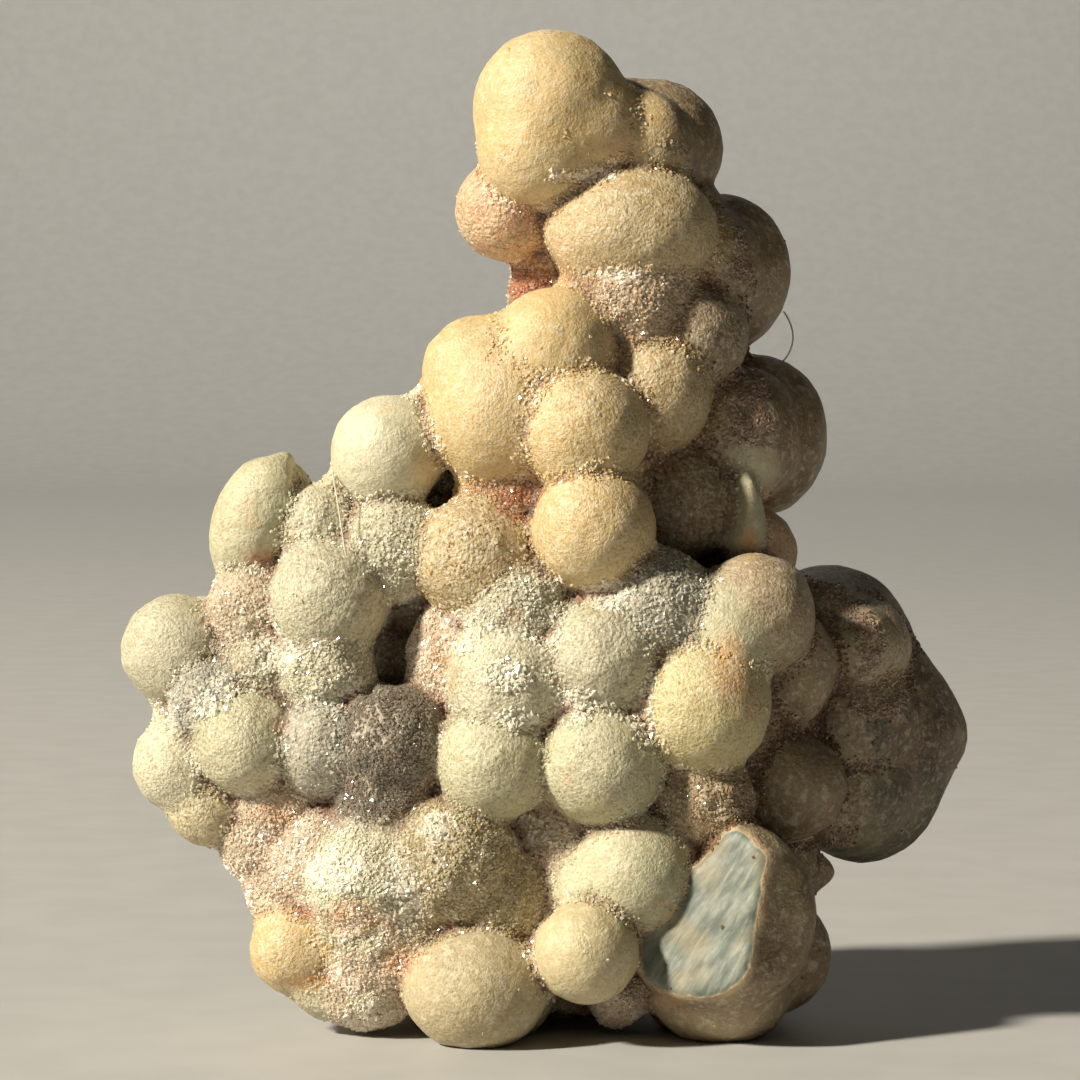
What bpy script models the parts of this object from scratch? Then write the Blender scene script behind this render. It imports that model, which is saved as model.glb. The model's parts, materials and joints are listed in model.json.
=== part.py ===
"""Botryoidal chalcedony: round lumps grown together into one mass about 60 mm tall.

Metres, +Z up, -Y towards the viewer. The origin is on the resting plane, under the middle of
the specimen. The lumps below are in millimetres.
"""

import math
import random
from collections import namedtuple
from itertools import combinations, product

import bmesh
import bpy
from mathutils import Matrix, Vector

MM = 0.001

# The front view. A front lump is read off it on the plane Y = 0, as millimetres across and up,
# and slides along the line of sight to its own depth.
EYE_DISTANCE = 220.0
EYE_TILT = math.radians(2.0)
EYE_AIM_UP = 29.9

# This moves the lumps as read onto the origin, and down onto the resting plane.
SHIFT = Vector((-0.4, -1.0, -1.3))

# How finely the balls, the skin over them and its facets are made.
BALL_STEPS = 3
SKIN_STEP = 0.5
FACET_SHARE = 0.105

# wide, tall and deep stretch a round lump along X, Z and Y. turn tips it clockwise as seen from
# the front, in degrees.
Lump = namedtuple(
    "Lump", "across up depth radius wide tall deep turn", defaults=(1.0, 1.0, 1.0, 0.0)
)

# A break takes off what lies further than reach from the middle of its lump. It faces azimuth
# degrees to the right of the viewer and elevation degrees up.
Break = namedtuple("Break", "azimuth elevation reach")

TOWER = {
    "crown": Lump(0.3, 55.4, -2.0, 4.6),
    "crown_right": Lump(2.3, 54.1, -2.3, 3.55),
    "crown_chin": Lump(-0.3, 53.0, -2.9, 3.6),
    "nape": Lump(-2.2, 49.4, -0.6, 3.1),
    "hood": Lump(6.4, 53.0, 2.4, 4.1),
    "hood_bud": Lump(5.0, 55.2, 1.6, 2.0),
    "gullet": Lump(0.6, 46.2, 1.0, 2.4),
    "cheek": Lump(5.1, 48.2, -2.6, 5.1, tall=0.76, deep=0.8),
    "throat": Lump(5.2, 44.3, -2.5, 3.45),
    "blade": Lump(10.5, 45.7, 3.6, 4.0, tall=1.16),
    "collar": Lump(8.8, 42.0, -1.6, 3.24),
    "chest": Lump(6.6, 38.7, -2.9, 3.25, tall=1.12),
    "rib": Lump(10.2, 36.1, 0.2, 2.09, tall=1.5),
    "hip": Lump(12.6, 36.1, 3.8, 4.1, tall=1.16),
    "flank": Lump(8.1, 32.1, -1.2, 3.1, tall=1.1),
}

SHOULDER = {
    "shoulder_top": Lump(0.5, 41.2, -4.2, 3.62),
    "shoulder_left": Lump(-4.0, 39.9, -3.4, 3.2),
    "shoulder_low": Lump(-2.6, 37.3, -4.0, 4.25),
    "elbow": Lump(2.3, 36.3, -6.0, 3.81),
    "fist": Lump(2.9, 30.6, -7.2, 3.66),
    "armpit": Lump(-1.6, 32.0, -3.2, 2.99),
    "thorn": Lump(11.4, 31.6, -2.8, 1.6, tall=1.8, deep=0.8, turn=-12.0),
    "thorn_root": Lump(12.8, 29.4, -0.6, 2.1, tall=1.2, turn=-20.0),
}

WING = {
    "wing_top": Lump(-9.3, 35.1, -3.0, 3.4),
    "broken_bud": Lump(-17.3, 31.1, -3.0, 2.5, tall=1.45, turn=26.0),
    "broken_spike": Lump(-15.9, 33.4, -3.2, 1.5, wide=0.9, tall=1.6, deep=0.6, turn=10.0),
    "wing_spur": Lump(-12.6, 32.9, -3.2, 0.7, tall=1.6),
    "wing_a": Lump(-13.6, 30.6, -3.1, 2.58),
    "wing_b": Lump(-8.9, 29.4, -3.9, 3.12),
    "wing_c": Lump(-12.8, 26.4, -4.9, 3.56),
    "wing_d": Lump(-17.4, 26.0, -3.5, 2.58),
    "wing_tip": Lump(-21.8, 23.4, -2.2, 3.3),
    "wing_e": Lump(-16.6, 22.7, -3.7, 2.38),
    "wing_f": Lump(-13.0, 22.2, -5.1, 2.81),
    "wing_g": Lump(-19.7, 20.2, -4.3, 2.53),
    "wing_h": Lump(-17.7, 17.9, -5.4, 3.1),
    "wing_i": Lump(-13.1, 17.7, -5.8, 2.95),
    "wing_j": Lump(-9.2, 17.8, -6.0, 3.45),
    "wing_k": Lump(-9.5, 14.3, -5.5, 3.0),
    "wing_l": Lump(-21.6, 16.6, -3.2, 2.9),
    "wing_m": Lump(-20.0, 14.2, -3.2, 2.5),
    "wing_n": Lump(-17.0, 12.0, -3.2, 2.38),
    "wing_o": Lump(-15.6, 14.4, -3.7, 2.88),
}

FIELD = {
    "field_a": Lump(-4.0, 28.8, -5.2, 3.72),
    "field_b": Lump(-1.7, 25.7, -6.1, 3.24),
    "field_c": Lump(-2.1, 21.6, -6.8, 3.72),
    "field_d": Lump(-3.0, 16.8, -7.4, 3.53),
    "field_e": Lump(3.4, 22.8, -7.2, 3.66),
    "field_f": Lump(6.4, 25.8, -6.0, 3.72),
    "field_g": Lump(3.3, 16.7, -7.7, 3.76),
    "field_slope": Lump(-5.6, 22.8, -4.2, 2.52, tall=1.4),
    "cheekbone": Lump(12.5, 25.6, -5.4, 3.5),
    "ridge": Lump(10.8, 24.0, -7.0, 2.5, tall=1.3),
    "lantern": Lump(9.4, 20.1, -7.2, 4.03),
    "rough_bud": Lump(9.4, 14.4, -6.2, 2.99),
    "side_a": Lump(14.4, 22.4, -2.2, 2.88, tall=1.2),
    "side_b": Lump(14.8, 15.3, -2.8, 3.1),
    "side_c": Lump(13.2, 10.4, -0.8, 3.2),
    "hollow_floor": Lump(1.8, 11.8, -4.5, 3.3),
    "field_seam": Lump(0.3, 19.6, -5.0, 2.4),
}

FOOT = {
    "foot_left": Lump(-14.7, 5.7, -4.6, 2.9),
    "foot_edge": Lump(-15.2, 9.2, -3.4, 2.53),
    "foot_a": Lump(-13.2, 11.2, -4.9, 2.88),
    "foot_b": Lump(-10.3, 9.8, -6.4, 3.72),
    "foot_c": Lump(-5.6, 11.0, -6.8, 3.72),
    "foot_d": Lump(-2.7, 8.6, -5.9, 3.0),
    "foot_e": Lump(-10.6, 3.6, -5.1, 2.76),
    "foot_f": Lump(-13.2, 3.4, -4.8, 1.9),
    "foot_g": Lump(-8.4, 6.6, -5.3, 3.0),
    "sole_left": Lump(-4.1, 3.2, -8.0, 4.0, wide=1.08, tall=0.92),
    "toe": Lump(2.5, 5.4, -9.6, 3.1),
    "toe_under": Lump(4.3, 2.3, -5.6, 1.4),
    "heart": Lump(5.2, 10.0, -7.3, 3.67),
    "heart_left": Lump(3.0, 9.0, -7.1, 2.53),
    "cleft": Lump(10.2, 7.6, -5.4, 5.9),
    "sole_right": Lump(10.4, 3.1, -5.4, 4.2, tall=0.78),
    "outer_foot": Lump(13.4, 5.3, -3.0, 3.6),
    "burr": Lump(16.3, 10.2, -0.8, 0.9),
}

REAR_RIGHT = {
    "rear_a": Lump(17.0, 23.8, 6.0, 4.6),
    "rear_b": Lump(19.0, 19.2, 7.0, 4.9),
    "rear_tip": Lump(22.6, 18.4, 6.6, 2.3),
    "rear_c": Lump(18.8, 15.2, 6.6, 4.4),
}

# These fill the inside and set how deep the creases go.
CORE = {
    "core_low": Lump(0.0, 8.0, 0.0, 6.5, wide=2.0),
    "core_middle": Lump(4.0, 19.5, 0.5, 7.5, wide=1.6, tall=1.2),
    "core_wing": Lump(-13.5, 20.0, 1.0, 5.0, wide=1.5, tall=1.9),
    "core_armpit": Lump(-7.5, 28.5, 1.8, 5.2, wide=1.3),
    "core_shoulder": Lump(1.5, 34.0, 0.2, 5.5, wide=1.2, tall=1.5),
    "core_neck": Lump(5.0, 45.0, 0.4, 4.0, tall=2.2),
    "bed_field": Lump(1.5, 21.0, -2.6, 6.2, wide=1.35, tall=1.4),
    "bed_foot": Lump(-8.6, 8.0, -3.4, 5.6, wide=1.15, tall=1.1),
    "bed_wing": Lump(-15.5, 20.0, -1.4, 4.4, wide=1.5, tall=2.0),
    "bed_shoulder": Lump(-1.2, 39.2, -3.2, 4.0, wide=1.35),
    "bed_neck": Lump(6.5, 42.0, -0.6, 4.2, tall=1.5),
    "bed_rear": Lump(18.6, 19.2, 6.4, 4.6, wide=1.1, tall=1.4, turn=-28.0),
}

# Seen from the front these are hidden behind the foot. They carry the rear of the specimen.
HEELS = {
    "heel_left": Lump(-8.0, 5.7, 8.0, 3.6),
    "heel_middle": Lump(1.0, 6.6, 9.0, 4.2),
    "heel_right": Lump(10.0, 5.9, 8.6, 3.8),
}

BREAKS = {
    "cleft": [Break(-42.0, 14.0, 2.6), Break(34.0, 4.0, 3.8)],
    "broken_bud": [Break(-8.0, 42.0, 1.0)],
    "thorn": [Break(-50.0, 10.0, 0.3)],
}

# Between two lumps that touch there is a web, and behind each lump a root, both as shares of the
# lump's radius.
WEB_REACH = 1.12
WEB_RADIUS = 0.64
WEB_BACK = 0.42
ROOT_RADIUS = 0.86
ROOT_BACK = 0.8
ROOT_INWARD = 0.25
MIDDLE_DEPTH = 1.0

# The rear lumps stand in uneven rows, deeper the further they are inside the outline.
REAR_SEED = 11
REAR_ROWS = 11
REAR_COLUMNS = 4
REAR_LOWEST = 3.5
REAR_ROW_STEP = 5.0
REAR_COLUMN_STEP = 6.2
REAR_JITTER = 1.1
REAR_RADII = (2.6, 4.0)
REAR_DEPTH_AT_EDGE = 0.8
REAR_DEPTH_GAIN = 0.66
REAR_MOST_REACH = 14.0
REAR_UNEVEN = 0.5
REACH_STEP = 0.5
COVER_MARGIN = 1.2
CLOSE_MARGIN = 0.3
CLOSE_STEP = 0.1
COVER_SAMPLES = 16


def front_lumps():
    """Every lump that is read off the front view."""
    return {**TOWER, **SHOULDER, **WING, **FIELD, **FOOT, **REAR_RIGHT}


def hidden_by(lumps, across, up, radius, margin=COVER_MARGIN):
    """Whether a disc of the front view lies behind these lumps all round its rim."""
    for step in range(COVER_SAMPLES):
        angle = math.tau * step / COVER_SAMPLES
        x = across + (radius + margin) * math.cos(angle)
        z = up + (radius + margin) * math.sin(angle)
        if not any(
            math.hypot((x - lump.across) / lump.wide, (z - lump.up) / lump.tall)
            < lump.radius + margin
            for lump in lumps
        ):
            return False
    return True


def rear_lumps(front):
    """Rows of uneven lumps over the rear, kept where the front hides them."""
    chance = random.Random(REAR_SEED)
    found = {}
    cover = [*front.values(), *CORE.values()]
    for row, column in product(range(REAR_ROWS), range(-REAR_COLUMNS, REAR_COLUMNS + 1)):
        across = (column + 0.5 * (row % 2)) * REAR_COLUMN_STEP
        across += chance.uniform(-REAR_JITTER, REAR_JITTER)
        up = REAR_LOWEST + row * REAR_ROW_STEP + chance.uniform(-REAR_JITTER, REAR_JITTER)
        radius = chance.uniform(*REAR_RADII)
        if not hidden_by(cover, across, up, radius):
            continue
        reach = radius
        while reach < REAR_MOST_REACH and hidden_by(cover, across, up, reach + REACH_STEP):
            reach += REACH_STEP
        depth = REAR_DEPTH_AT_EDGE + REAR_DEPTH_GAIN * reach
        depth += chance.uniform(-REAR_UNEVEN, REAR_UNEVEN)
        while radius > REAR_RADII[0] and not hidden_by(cover, across, up, radius, CLOSE_MARGIN):
            radius -= CLOSE_STEP
        found[f"rear_{row}_{column}"] = Lump(across, up, depth, radius)
    return found


def root_of(lump):
    """The ball that a lump grew from, nearer the middle of the specimen."""
    inward = -math.copysign(min(abs(lump.across), ROOT_INWARD * lump.radius), lump.across)
    back = math.copysign(ROOT_BACK * lump.radius, MIDDLE_DEPTH - lump.depth)
    return lump._replace(
        across=lump.across + inward,
        depth=lump.depth + back,
        radius=ROOT_RADIUS * lump.radius,
    )


def web_between(one, other):
    """The ball that fills the crease between two lumps, or None where they are apart."""
    small = min(one.radius, other.radius)
    gap = Vector((other.across - one.across, other.depth - one.depth, other.up - one.up))
    if gap.length > WEB_REACH * (one.radius + other.radius):
        return None
    share = one.radius / (one.radius + other.radius)
    depth = one.depth + share * gap.y
    return Lump(
        one.across + share * gap.x,
        one.up + share * gap.z,
        depth + math.copysign(WEB_BACK * small, MIDDLE_DEPTH - depth),
        WEB_RADIUS * small,
    )


def placed(lump):
    """The lump's middle in millimetres, and its radius once it has slid to its depth."""
    eye = Vector(
        (0.0, -EYE_DISTANCE * math.cos(EYE_TILT), EYE_AIM_UP + EYE_DISTANCE * math.sin(EYE_TILT))
    )
    share = (lump.depth - eye.y) / -eye.y
    middle = eye + (Vector((lump.across, 0.0, lump.up)) - eye) * share
    return middle + SHIFT, lump.radius * share


def facing(azimuth, elevation):
    """The direction that is this far right of the viewer and this far up."""
    across = math.radians(azimuth)
    up = math.radians(elevation)
    return Vector(
        (math.sin(across) * math.cos(up), -math.cos(across) * math.cos(up), math.sin(up))
    )


def planes_of(name, lump):
    """The planes that the lump of this name broke along, each as a point and the way it faces."""
    middle, _ = placed(lump)
    normals = [(facing(side.azimuth, side.elevation), side.reach) for side in BREAKS.get(name, [])]
    return [(middle + normal * reach, normal) for normal, reach in normals]


def lump_frame(lump):
    """What turns a ball of one millimetre into the lump."""
    middle, radius = placed(lump)
    stretch = Matrix.Diagonal((lump.wide * radius, lump.deep * radius, lump.tall * radius, 1.0))
    turn = Matrix.Rotation(math.radians(lump.turn), 4, "Y")
    return Matrix.Translation(middle) @ turn @ stretch


def add_lump(mesh, lump, planes):
    """Adds one stretched ball, less what lies beyond the planes, to the mesh."""
    ball = bmesh.new()
    bmesh.ops.create_icosphere(ball, subdivisions=BALL_STEPS, radius=1.0)
    bmesh.ops.transform(ball, matrix=lump_frame(lump), verts=ball.verts)
    for point, normal in planes:
        cut = bmesh.ops.bisect_plane(
            ball,
            geom=[*ball.verts, *ball.edges, *ball.faces],
            plane_co=point,
            plane_no=normal,
            clear_outer=True,
        )
        rim = [item for item in cut["geom_cut"] if isinstance(item, bmesh.types.BMEdge)]
        bmesh.ops.edgeloop_fill(ball, edges=rim)
    bmesh.ops.scale(ball, vec=(MM, MM, MM), verts=ball.verts)
    piece = bpy.data.meshes.new("lump")
    ball.to_mesh(piece)
    ball.free()
    mesh.from_mesh(piece)
    bpy.data.meshes.remove(piece)


def stone_material():
    material = bpy.data.materials.new("chalcedony")
    material.use_nodes = True
    shader = material.node_tree.nodes["Principled BSDF"]
    shader.inputs["Base Color"].default_value = (0.50, 0.43, 0.27, 1.0)
    shader.inputs["Roughness"].default_value = 0.45
    shader.inputs["Metallic"].default_value = 0.0
    return material


def rest_cutter():
    """A block whose top is the plane that the specimen rests on."""
    block = bmesh.new()
    bmesh.ops.create_cube(block, size=1.0)
    bmesh.ops.scale(block, vec=(0.1, 0.1, 0.01), verts=block.verts)
    bmesh.ops.translate(block, vec=(0.0, 0.0, -0.005), verts=block.verts)
    mesh = bpy.data.meshes.new("rest_cutter")
    block.to_mesh(mesh)
    block.free()
    cutter = bpy.data.objects.new("rest_cutter", mesh)
    bpy.context.scene.collection.objects.link(cutter)
    cutter.display_type = "WIRE"
    cutter.hide_render = True
    return cutter


def shapes():
    """Every ball of the specimen, with the planes that it broke along."""
    front = front_lumps()
    grown = {**front, **HEELS, **rear_lumps(front)}
    found = [(lump, planes_of(name, lump)) for name, lump in grown.items()]
    for (name, one), (other_name, other) in combinations(grown.items(), 2):
        web = web_between(one, other)
        if web:
            found.append((web, planes_of(name, one) + planes_of(other_name, other)))
    found += [(root_of(lump), []) for lump in grown.values()]
    found += [(lump, []) for lump in CORE.values()]
    return found


def specimen():
    """The fused mass: the lumps under one skin, cut flat where it rests."""
    build = bmesh.new()
    for lump, planes in shapes():
        add_lump(build, lump, planes)
    mesh = bpy.data.meshes.new("botryoidal_chalcedony")
    build.to_mesh(mesh)
    build.free()
    mesh.materials.append(stone_material())
    mass = bpy.data.objects.new("botryoidal_chalcedony", mesh)
    bpy.context.scene.collection.objects.link(mass)
    skin = mass.modifiers.new("skin", "REMESH")
    skin.mode = "VOXEL"
    skin.voxel_size = SKIN_STEP * MM
    skin.use_smooth_shade = True
    facets = mass.modifiers.new("facets", "DECIMATE")
    facets.ratio = FACET_SHARE
    rest = mass.modifiers.new("rest", "BOOLEAN")
    rest.operation = "DIFFERENCE"
    rest.solver = "EXACT"
    rest.object = rest_cutter()
    return mass


for old in list(bpy.data.objects):
    bpy.data.objects.remove(old)
specimen()
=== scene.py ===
import json
import math
import random
from collections import namedtuple
from itertools import combinations, product

import bpy
import numpy as np
from mathutils import Matrix, Vector, noise

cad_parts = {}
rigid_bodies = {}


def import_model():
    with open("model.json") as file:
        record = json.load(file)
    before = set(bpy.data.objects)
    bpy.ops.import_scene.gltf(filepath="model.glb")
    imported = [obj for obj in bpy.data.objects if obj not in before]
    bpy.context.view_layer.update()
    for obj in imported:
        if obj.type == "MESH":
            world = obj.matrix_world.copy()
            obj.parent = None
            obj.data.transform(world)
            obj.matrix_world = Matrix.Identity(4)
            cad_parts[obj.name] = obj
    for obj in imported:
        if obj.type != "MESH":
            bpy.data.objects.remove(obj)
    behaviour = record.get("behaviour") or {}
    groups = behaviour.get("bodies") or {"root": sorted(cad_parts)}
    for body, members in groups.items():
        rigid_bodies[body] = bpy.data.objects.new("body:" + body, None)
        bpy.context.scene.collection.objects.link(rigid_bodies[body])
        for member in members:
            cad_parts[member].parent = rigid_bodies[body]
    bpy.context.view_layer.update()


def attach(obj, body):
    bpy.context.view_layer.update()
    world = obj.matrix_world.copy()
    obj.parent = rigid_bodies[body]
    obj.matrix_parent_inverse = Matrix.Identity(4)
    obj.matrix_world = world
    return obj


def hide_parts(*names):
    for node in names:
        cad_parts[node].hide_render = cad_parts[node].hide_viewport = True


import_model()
mm = 0.001

# The eye of the front view, in millimetres. Lumps are read off that view on the plane y = 0 and
# slide along the sight line to their own depth.
view = {
    "distance": 220.0,
    "tilt": math.radians(2.0),
    "aimUp": 29.9,
    "aimAcross": -0.3,
    "frameSide": 63.94,
    "shift": Vector((-0.4, -1.0, -1.3)),
}
eye = Vector((
    0.0,
    -view["distance"] * math.cos(view["tilt"]),
    view["aimUp"] + view["distance"] * math.sin(view["tilt"]),
))

Lump = namedtuple(
    "Lump", "across up depth radius wide tall deep turn soft tone druse",
    defaults=(1.0, 1.0, 1.0, 0.0, 0.22, "celadon", 0.3),
)
Break = namedtuple("Break", "azimuth elevation reach fresh", defaults=(True,))

# Chalcedony tones, linear light
tones = {
    "honey": (0.62, 0.44, 0.19),
    "cream": (0.54, 0.45, 0.25),
    "lantern": (0.58, 0.49, 0.22),
    "sage": (0.50, 0.48, 0.30),
    "celadon": (0.50, 0.475, 0.33),
    "pale": (0.64, 0.61, 0.43),
    "ochre": (0.48, 0.34, 0.15),
    "wheat": (0.43, 0.35, 0.19),
    "toast": (0.46, 0.32, 0.20),
    "steel": (0.38, 0.37, 0.30),
    "ash": (0.20, 0.165, 0.125),
    "blush": (0.58, 0.45, 0.32),
    "salmon": (0.66, 0.38, 0.20),
    "tan": (0.34, 0.245, 0.14),
    # painted shade: bark is a brown darkened to stand for the shadow on the lumps at the right and back
    "shadedBark": (0.165, 0.10, 0.048),
    # painted shade: umber and slate are near-black browns that stand for the shadow over the rear mass
    "shadedUmber": (0.10, 0.055, 0.032),
    "shadedSlate": (0.06, 0.058, 0.042),
    "rust": (0.42, 0.17, 0.09),
    "amber": (0.64, 0.32, 0.09),
    "bed": (0.31, 0.21, 0.145),
}

tower = {
    "crown": Lump(0.3, 55.4, -2.0, 4.6, soft=0.2, tone="honey", druse=0.04),
    "crown_right": Lump(2.3, 54.1, -2.3, 3.55, soft=0.26, tone="honey", druse=0.06),
    "crown_chin": Lump(-0.3, 53.0, -2.9, 3.6, soft=0.36, tone="honey", druse=0.08),
    "nape": Lump(-2.2, 49.4, -0.6, 3.1, soft=0.16, tone="salmon", druse=0.45),
    # painted shade: hood, hood_bud, blade, collar, rib, hip and flank take the darkened bark tone
    "hood": Lump(6.4, 53.0, 2.4, 4.1, soft=0.08, tone="shadedBark", druse=0.0),
    "hood_bud": Lump(5.0, 55.2, 1.6, 2.0, soft=0.08, tone="shadedBark", druse=0.0),
    "gullet": Lump(0.6, 46.2, 1.0, 2.4, tone="rust", druse=0.9),
    "cheek": Lump(5.1, 48.2, -2.6, 5.1, tall=0.76, deep=0.8, tone="ochre", druse=0.25),
    "throat": Lump(5.2, 44.3, -2.5, 3.45, soft=0.32, tone="toast", druse=0.7),
    "blade": Lump(10.5, 45.7, 3.6, 4.0, tall=1.16, soft=0.12, tone="shadedBark", druse=0.0),
    "collar": Lump(8.8, 42.0, -1.6, 3.24, tone="shadedBark", druse=0.34),
    "chest": Lump(6.6, 38.7, -2.9, 3.25, tall=1.12, tone="ochre", druse=0.35),
    "rib": Lump(10.2, 36.1, 0.2, 2.09, tall=1.5, soft=0.36, tone="shadedBark", druse=0.2),
    "hip": Lump(12.6, 36.1, 3.8, 4.1, tall=1.16, soft=0.12, tone="shadedBark", druse=0.0),
    "flank": Lump(8.1, 32.1, -1.2, 3.1, tall=1.1, soft=0.36, tone="shadedBark", druse=0.3),
}

shoulder = {
    "shoulder_top": Lump(0.5, 41.2, -4.2, 3.62, soft=0.36, tone="honey", druse=0.08),
    "shoulder_left": Lump(-4.0, 39.9, -3.4, 3.2, soft=0.36, tone="honey", druse=0.08),
    "shoulder_low": Lump(-2.6, 37.3, -4.0, 4.25, soft=0.36, tone="honey", druse=0.15),
    "elbow": Lump(2.3, 36.3, -6.0, 3.81, soft=0.28, tone="honey", druse=0.25),
    "fist": Lump(2.9, 30.6, -7.2, 3.66, soft=0.16, tone="honey", druse=0.2),
    "armpit": Lump(-1.6, 32.0, -3.2, 2.99, tone="rust", druse=0.9),
    "thorn": Lump(
        11.4, 31.6, -2.8, 1.6, tall=1.8, deep=0.8, turn=-12.0, soft=0.08, tone="celadon", druse=0.0,
    ),
    "thorn_root": Lump(12.8, 29.4, -0.6, 2.1, tall=1.2, turn=-20.0, tone="salmon", druse=0.2),
}

wing = {
    "wing_top": Lump(-9.3, 35.1, -3.0, 3.4, tone="pale", druse=0.1),
    "broken_bud": Lump(-17.0, 31.3, -3.0, 2.6, tall=1.62, turn=24.0, soft=0.1, tone="sage", druse=0.12),
    "wing_spur": Lump(-12.6, 32.9, -3.2, 0.7, tall=1.6, soft=0.12, tone="cream", druse=0.3),
    "wing_a": Lump(-13.6, 30.6, -3.1, 2.58, tone="pale", druse=0.5),
    "wing_b": Lump(-8.9, 29.4, -3.9, 3.12, tone="celadon", druse=0.7),
    "wing_c": Lump(-12.8, 26.4, -4.9, 3.56, tone="celadon", druse=0.45),
    "wing_d": Lump(-17.4, 26.0, -3.5, 2.58, tone="blush", druse=0.6),
    "wing_tip": Lump(-21.8, 23.4, -2.2, 3.3, soft=0.16, tone="celadon", druse=0.2),
    "wing_e": Lump(-16.6, 22.7, -3.7, 2.38, tone="celadon", druse=0.8),
    "wing_f": Lump(-13.0, 22.2, -5.1, 2.81, tone="celadon", druse=0.8),
    "wing_g": Lump(-19.7, 20.2, -4.3, 2.53, tone="steel", druse=0.8),
    "wing_h": Lump(-17.7, 17.9, -5.4, 3.1, tone="sage", druse=0.4),
    "wing_i": Lump(-13.1, 17.7, -5.8, 2.95, tone="steel", druse=0.5),
    "wing_j": Lump(-9.2, 17.8, -6.0, 3.45, soft=0.36, tone="ash", druse=0.9),
    "wing_k": Lump(-9.5, 14.3, -5.5, 3.0, soft=0.36, tone="ash", druse=0.9),
    "wing_l": Lump(-21.6, 16.6, -3.2, 2.9, tone="pale", druse=0.3),
    "wing_m": Lump(-20.0, 14.2, -3.2, 2.5, tone="cream", druse=0.4),
    "wing_n": Lump(-17.0, 12.0, -3.2, 2.38, tone="blush", druse=0.7),
    "wing_o": Lump(-15.6, 14.4, -3.7, 2.88, tone="blush", druse=0.9),
}

field = {
    "field_a": Lump(-4.0, 28.8, -5.2, 3.72, soft=0.32, tone="ochre", druse=0.5),
    "field_b": Lump(-1.7, 25.7, -6.1, 3.24, soft=0.32, tone="celadon", druse=0.7),
    "field_c": Lump(-2.1, 21.6, -6.8, 3.72, soft=0.32, tone="pale", druse=0.45),
    "field_d": Lump(-3.0, 16.8, -7.4, 3.53, soft=0.2, tone="sage", druse=0.25),
    "field_e": Lump(3.4, 22.8, -7.2, 3.66, soft=0.32, tone="celadon", druse=0.4),
    "field_f": Lump(6.4, 25.8, -6.0, 3.72, soft=0.32, tone="steel", druse=0.6),
    "field_g": Lump(3.3, 16.7, -7.7, 3.76, soft=0.2, tone="sage", druse=0.25),
    "field_slope": Lump(-5.6, 22.8, -4.2, 2.52, tall=1.4, soft=0.32, tone="blush", druse=1.0),
    "cheekbone": Lump(12.5, 25.6, -5.4, 3.5, soft=0.44, tone="tan", druse=0.2),
    "ridge": Lump(10.8, 24.0, -7.0, 2.5, tall=1.3, soft=0.44, tone="sage", druse=0.1),
    "lantern": Lump(9.4, 20.1, -7.2, 4.03, soft=0.32, tone="lantern", druse=0.25),
    "rough_bud": Lump(9.4, 14.4, -6.2, 2.99, tone="tan", druse=0.9),
    # painted shade: side_a, side_b and side_c take the darkened bark tone
    "side_a": Lump(14.4, 22.4, -2.2, 2.88, tall=1.2, soft=0.4, tone="shadedBark", druse=0.1),
    "side_b": Lump(14.8, 15.3, -2.8, 3.1, soft=0.4, tone="shadedBark", druse=0.1),
    "side_c": Lump(13.2, 10.4, -0.8, 3.2, tone="shadedBark", druse=0.2),
    "hollow_floor": Lump(1.8, 11.8, -4.5, 3.3, soft=0.32, tone="blush", druse=1.0),
    "field_seam": Lump(0.3, 19.6, -5.0, 2.4, soft=0.32, tone="blush", druse=0.9),
}

foot = {
    "foot_left": Lump(-14.7, 5.7, -4.6, 2.9, tone="honey", druse=0.2),
    "foot_edge": Lump(-15.2, 9.2, -3.4, 2.53, soft=0.36, tone="blush", druse=0.8),
    "foot_a": Lump(-13.2, 11.2, -4.9, 2.88, soft=0.4, tone="blush", druse=1.0),
    "foot_b": Lump(-10.3, 9.8, -6.4, 3.72, soft=0.4, tone="pale", druse=0.85),
    "foot_c": Lump(-5.6, 11.0, -6.8, 3.72, soft=0.4, tone="wheat", druse=0.8),
    "foot_d": Lump(-2.7, 8.6, -5.9, 3.0, soft=0.4, tone="wheat", druse=0.7),
    "foot_e": Lump(-10.6, 3.6, -5.1, 2.76, soft=0.4, tone="blush", druse=0.9),
    "foot_f": Lump(-13.2, 3.4, -4.8, 1.9, soft=0.32, tone="sage", druse=0.4),
    "foot_g": Lump(-8.4, 6.6, -5.3, 3.0, soft=0.4, tone="blush", druse=1.0),
    "sole_left": Lump(-4.1, 3.2, -8.0, 4.0, wide=1.08, tall=0.92, tone="wheat", druse=0.12),
    "toe": Lump(2.5, 5.4, -9.6, 3.1, soft=0.1, tone="cream", druse=0.02),
    "toe_under": Lump(4.3, 2.3, -5.6, 1.4, tone="blush", druse=0.8),
    "heart": Lump(5.2, 10.0, -7.3, 3.67, soft=0.28, tone="sage", druse=0.15),
    "heart_left": Lump(3.0, 9.0, -7.1, 2.53, soft=0.28, tone="sage", druse=0.15),
    # painted shade: cleft and outer_foot take the darkened bark tone
    "cleft": Lump(10.2, 7.6, -7.4, 5.9, soft=0.08, tone="shadedBark", druse=0.0),
    "sole_right": Lump(10.4, 3.1, -5.4, 4.2, tall=0.78, soft=0.2, tone="tan", druse=0.0),
    "outer_foot": Lump(13.4, 5.3, -3.0, 3.6, tone="shadedBark", druse=0.0),
    "burr": Lump(16.3, 10.2, -0.8, 0.9, soft=0.12, tone="tan", druse=0.3),
}

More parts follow.
